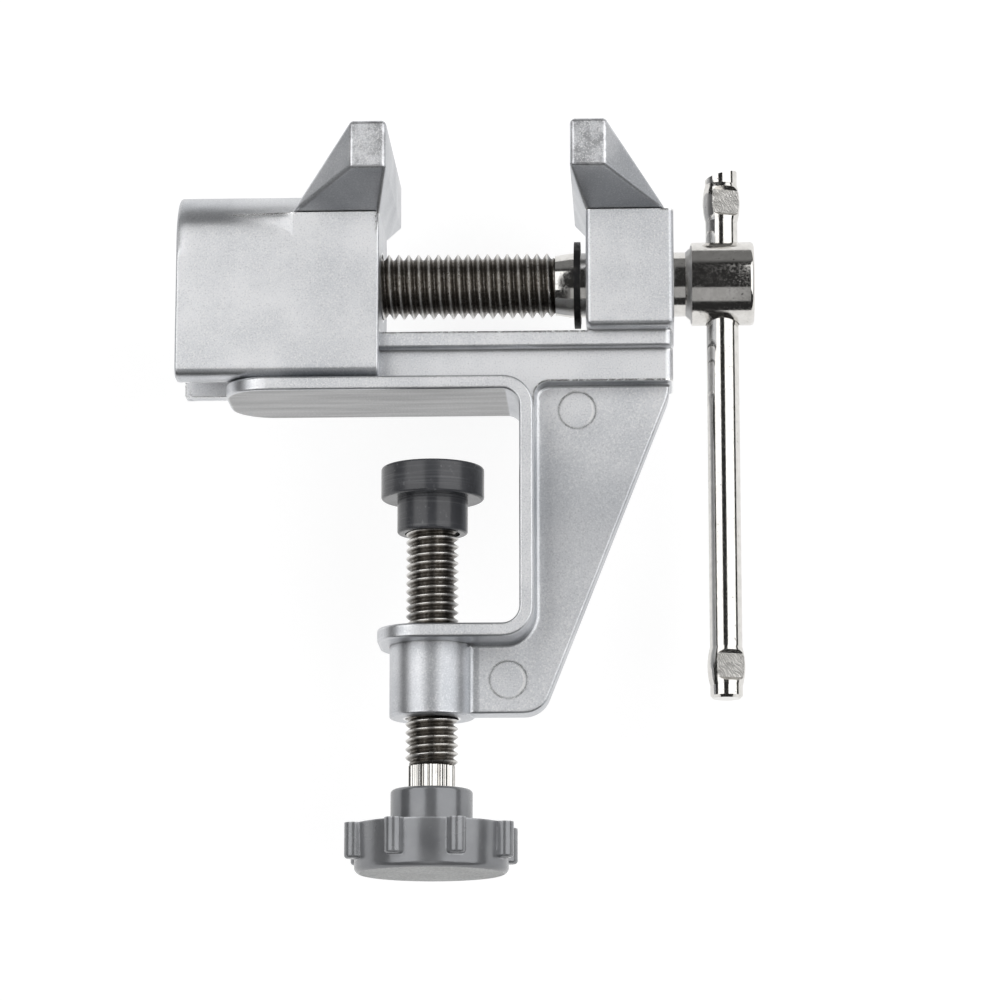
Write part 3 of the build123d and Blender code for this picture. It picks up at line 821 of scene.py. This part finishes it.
def grey_plastic(name, dark, light, edge_wear_and_highlight, metallic, worn_below=None, turned=False):
    """Grey material with scuffs and rubbed edges, painted paler partly as a highlight.

    Flat faces below the height worn_below are rubbed pale, and a turned piece has fine rings.
    """
    material, tree, shader, place = new_material(name)
    cloud = noise(tree, place, *PLASTIC_CLOUD_NOISE)
    grain = noise(tree, place, *PLASTIC_GRAIN_NOISE)
    scuffs = fit(tree, noise(tree, place, *PLASTIC_SCUFF_NOISE), *PLASTIC_SCUFFS)
    colour = mix_colour(tree, fit(tree, cloud, *MOST_NOISE), dark, light)
    colour = mix_colour(tree, product(tree, scuffs, PLASTIC_SCUFF_SHARE), colour, PLASTIC_SCUFF)
    rubbed_and_lit = fit(tree, noise(tree, place, *PLASTIC_EDGE_NOISE), *PLASTIC_EDGE_BREAKS, *PLASTIC_EDGE_SHARE)
    # worn edges and a painted highlight: the edges are painted paler
    rim = product(tree, edge_mask(tree, PLASTIC_RIM_WIDTH), rubbed_and_lit)
    colour = mix_colour(tree, rim, colour, edge_wear_and_highlight)
    rough = fit(tree, cloud, *MOST_NOISE, *PLASTIC_ROUGHNESS)
    if worn_below is not None:
        worn = worn_foot(tree, place, worn_below)
        pale = mix_colour(tree, fit(tree, grain, *WORN_GRAIN), WORN_DARK, WORN_LIGHT)
        colour = mix_colour(tree, worn, colour, pale)
        rough = math_node(tree, "ADD", rough, product(tree, worn, WORN_ROUGHNESS))
    surface = bump(tree, grain, *PLASTIC_GRAIN_BUMP)
    surface = bump(tree, scuffs, *PLASTIC_SCUFF_BUMP, surface)
    if turned:
        squeezed = vector_node(tree, "MULTIPLY", place, TURNED_SQUEEZE)["Vector"]
        rings = noise(tree, squeezed, *TURNED_NOISE)
        surface = bump(tree, rings, *TURNED_BUMP, surface)
        lines = fit(tree, rings, *TURNED_LINES, *TURNED_SHARE)
        colour = mix_colour(tree, lines, colour, TURNED_LINE)
    link(tree, shader, Base_Color=colour, Roughness=rough, Normal=surface)
    shader.inputs["Metallic"].default_value = metallic
    return material


def worn_foot(tree, place, height):
    """1 on faces that look down and lie no higher than that, and 0 elsewhere."""
    normal = node(tree, "ShaderNodeTexCoord").outputs["Normal"]
    down = fit(tree, split(tree, normal)["Z"], *WORN_FACING)
    low = fit(tree, split(tree, place)["Z"], height + WORN_FADE, height)
    return product(tree, low, down)


def paint(piece, material):
    """Gives a piece one material all over."""
    piece.data.materials.clear()
    piece.data.materials.append(material)


# Ground, light and camera


def make_ground(behind):
    """White ground behind the vise; it is see-through from its back, for views from there."""
    half = GROUND_SIZE / 2
    mesh = bpy.data.meshes.new("ground")
    corners = [(-half, behind, -half), (half, behind, -half), (half, behind, half), (-half, behind, half)]
    mesh.from_pydata(corners, [], [(0, 1, 2, 3)])
    ground = bpy.data.objects.new("ground", mesh)
    bpy.context.scene.collection.objects.link(ground)
    material = bpy.data.materials.new("white_ground")
    material.use_nodes = True
    tree = material.node_tree
    tree.nodes.clear()
    matt = node(tree, "ShaderNodeBsdfDiffuse", inputs={"Color": GROUND_COLOUR}).outputs[0]
    strength = product(tree, seen_rays(tree), GROUND_WHITE)
    glow = node(tree, "ShaderNodeEmission", inputs={"Strength": strength}).outputs[0]
    front = node(tree, "ShaderNodeAddShader", inputs={0: matt, 1: glow}).outputs[0]
    clear = node(tree, "ShaderNodeBsdfTransparent").outputs[0]
    back = node(tree, "ShaderNodeNewGeometry").outputs["Backfacing"]
    both = node(tree, "ShaderNodeMixShader", inputs={0: back, 1: front, 2: clear}).outputs[0]
    node(tree, "ShaderNodeOutputMaterial", inputs={"Surface": both})
    mesh.materials.append(material)


def seen_rays(tree):
    """1 for rays that see the ground, straight or in a mirror or glass, and 0 for the light on the vise."""
    rays = node(tree, "ShaderNodeLightPath").outputs
    seen = math_node(tree, "MAXIMUM", rays["Is Camera Ray"], rays["Is Glossy Ray"])
    return math_node(tree, "MAXIMUM", seen, rays["Is Transmission Ray"])


def make_world():
    """The studio room: white past the ground for the camera, and dim with a grey floor for the metal."""
    world = bpy.data.worlds.new("studio")
    bpy.context.scene.world = world
    world.use_nodes = True
    tree = world.node_tree
    tree.nodes.clear()
    direction = node(tree, "ShaderNodeTexCoord").outputs["Generated"]
    parts = split(tree, direction)
    front = fit(tree, parts["Y"], *ROOM_FLOOR_FRONT)
    below = fit(tree, parts["Z"], *ROOM_FLOOR_START)
    above_edge = fit(tree, parts["Z"], *ROOM_FLOOR_END)
    middle = fit(tree, unsigned(tree, parts["X"]), *ROOM_FLOOR_SIDE)
    floor = product(tree, product(tree, below, above_edge), front)
    floor = product(tree, floor, middle)
    ceiling = fit(tree, parts["Z"], *ROOM_CEILING_START)
    light = product(tree, floor, ROOM_FLOOR - ROOM_WALLS)
    light = math_node(tree, "ADD", light, product(tree, ceiling, ROOM_CEILING - ROOM_WALLS))
    light = math_node(tree, "ADD", light, ROOM_WALLS)
    camera = node(tree, "ShaderNodeLightPath").outputs["Is Camera Ray"]
    light = math_node(tree, "MAXIMUM", light, camera)
    room = node(tree, "ShaderNodeBackground", inputs={"Color": WHITE, "Strength": light}).outputs[0]
    node(tree, "ShaderNodeOutputWorld", inputs={"Surface": room})


def softbox(name, azimuth, elevation, width, height, radiance):
    """Soft lamp aimed at the vise; azimuth 0 is in front of the jaws' near ends and 90 is towards +X."""
    lamp = bpy.data.lights.new(name, "AREA")
    lamp.shape = "RECTANGLE"
    lamp.size = width
    lamp.size_y = height
    lamp.energy = radiance * math.pi * width * height
    turn, rise = math.radians(azimuth), math.radians(elevation)
    back = Vector((math.sin(turn) * math.cos(rise), -math.cos(turn) * math.cos(rise), math.sin(rise)))
    box = bpy.data.objects.new(name, lamp)
    box.location = LIGHT_AIM + back * LIGHT_DISTANCE
    box.rotation_euler = back.to_track_quat("Z", "Y").to_euler()
    box.visible_camera = False
    bpy.context.scene.collection.objects.link(box)


def make_camera():
    """Camera at the photograph's place."""
    data = bpy.data.cameras.new("camera")
    data.sensor_width = SENSOR_WIDTH
    data.lens = SENSOR_WIDTH * FOCAL_PIXELS / PICTURE_PIXELS
    data.clip_start = CAMERA_CLIP_START
    camera = bpy.data.objects.new("camera", data)
    camera.location = CAMERA_EYE
    camera.rotation_euler = (math.pi / 2 + CAMERA_PITCH, 0, CAMERA_TURN)
    bpy.context.scene.collection.objects.link(camera)
    bpy.context.scene.camera = camera


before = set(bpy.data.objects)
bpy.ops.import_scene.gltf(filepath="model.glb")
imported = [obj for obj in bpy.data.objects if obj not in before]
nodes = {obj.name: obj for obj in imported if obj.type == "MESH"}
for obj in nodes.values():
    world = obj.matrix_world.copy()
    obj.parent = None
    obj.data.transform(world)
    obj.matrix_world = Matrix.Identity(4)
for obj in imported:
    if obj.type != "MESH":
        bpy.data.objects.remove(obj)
cad_low, cad_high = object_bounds()

vise_low, vise_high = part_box("vise_screw")
ring_low, ring_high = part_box("retaining_ring")
vise_axis = (0, 0, (vise_low.z + vise_high.z) / 2)
vise_thread = (VISE_THREAD_DIAMETER / 2, vise_low.x, vise_thread_end(ring_low))
clamp_thread = (CLAMP_THREAD_DIAMETER / 2, CLAMP_THREAD_BOTTOM, CLAMP_THREAD_TOP)
bar_low, bar_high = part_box("tommy_bar")
bar_flat = (-math.sin(BAR_FLAT_TURN), math.cos(BAR_FLAT_TURN), 0)
swages = (bar_high.z - SWAGE_FROM_TOP, bar_low.z + SWAGE_FROM_BOTTOM)
bar_steel = plated_steel("plated_steel_bar", pressed=on_flats(bar_flat, swages, SWAGE_FLAT_LENGTH / 2))
vise_steel = plated_steel("plated_steel_vise_screw", thread_dirt_and_shade(vise_axis, (1, 0, 0), *vise_thread))
clamp_steel = plated_steel("plated_steel_clamp_screw", thread_dirt_and_shade((0, 0, 0), (0, 0, 1), *clamp_thread))
paint(nodes["frame"], cast_aluminium("cast_aluminium_frame", cad_high.y, is_frame=True))
paint(nodes["sliding_jaw"], cast_aluminium("cast_aluminium_jaw", cad_high.y))
paint(nodes["tommy_bar"], bar_steel)
paint(nodes["retaining_ring"], black_spring_steel())
pad = grey_plastic("grey_plastic_pad", PAD_DARK, PAD_LIGHT, PAD_EDGE_WEAR_AND_HIGHLIGHT, PAD_METALLIC, turned=True)
paint(nodes["swivel_pad"], pad)
knob_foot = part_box("hand_knob")[0].z
knob = grey_plastic("grey_plastic_knob", KNOB_DARK, KNOB_LIGHT, KNOB_EDGE_WEAR_AND_HIGHLIGHT, KNOB_METALLIC, knob_foot)
paint(nodes["hand_knob"], knob)
paint(make_vise_screw(), vise_steel)
paint(make_clamp_screw(), clamp_steel)
paint(make_jaw_thread(), nodes["sliding_jaw"].data.materials[0])

make_world()
make_ground(cad_high.y + GROUND_GAP)
softbox("left_box", *LEFT_BOX)
softbox("right_box", *RIGHT_BOX)
make_camera()
bpy.context.scene.view_settings.view_transform = "Standard"
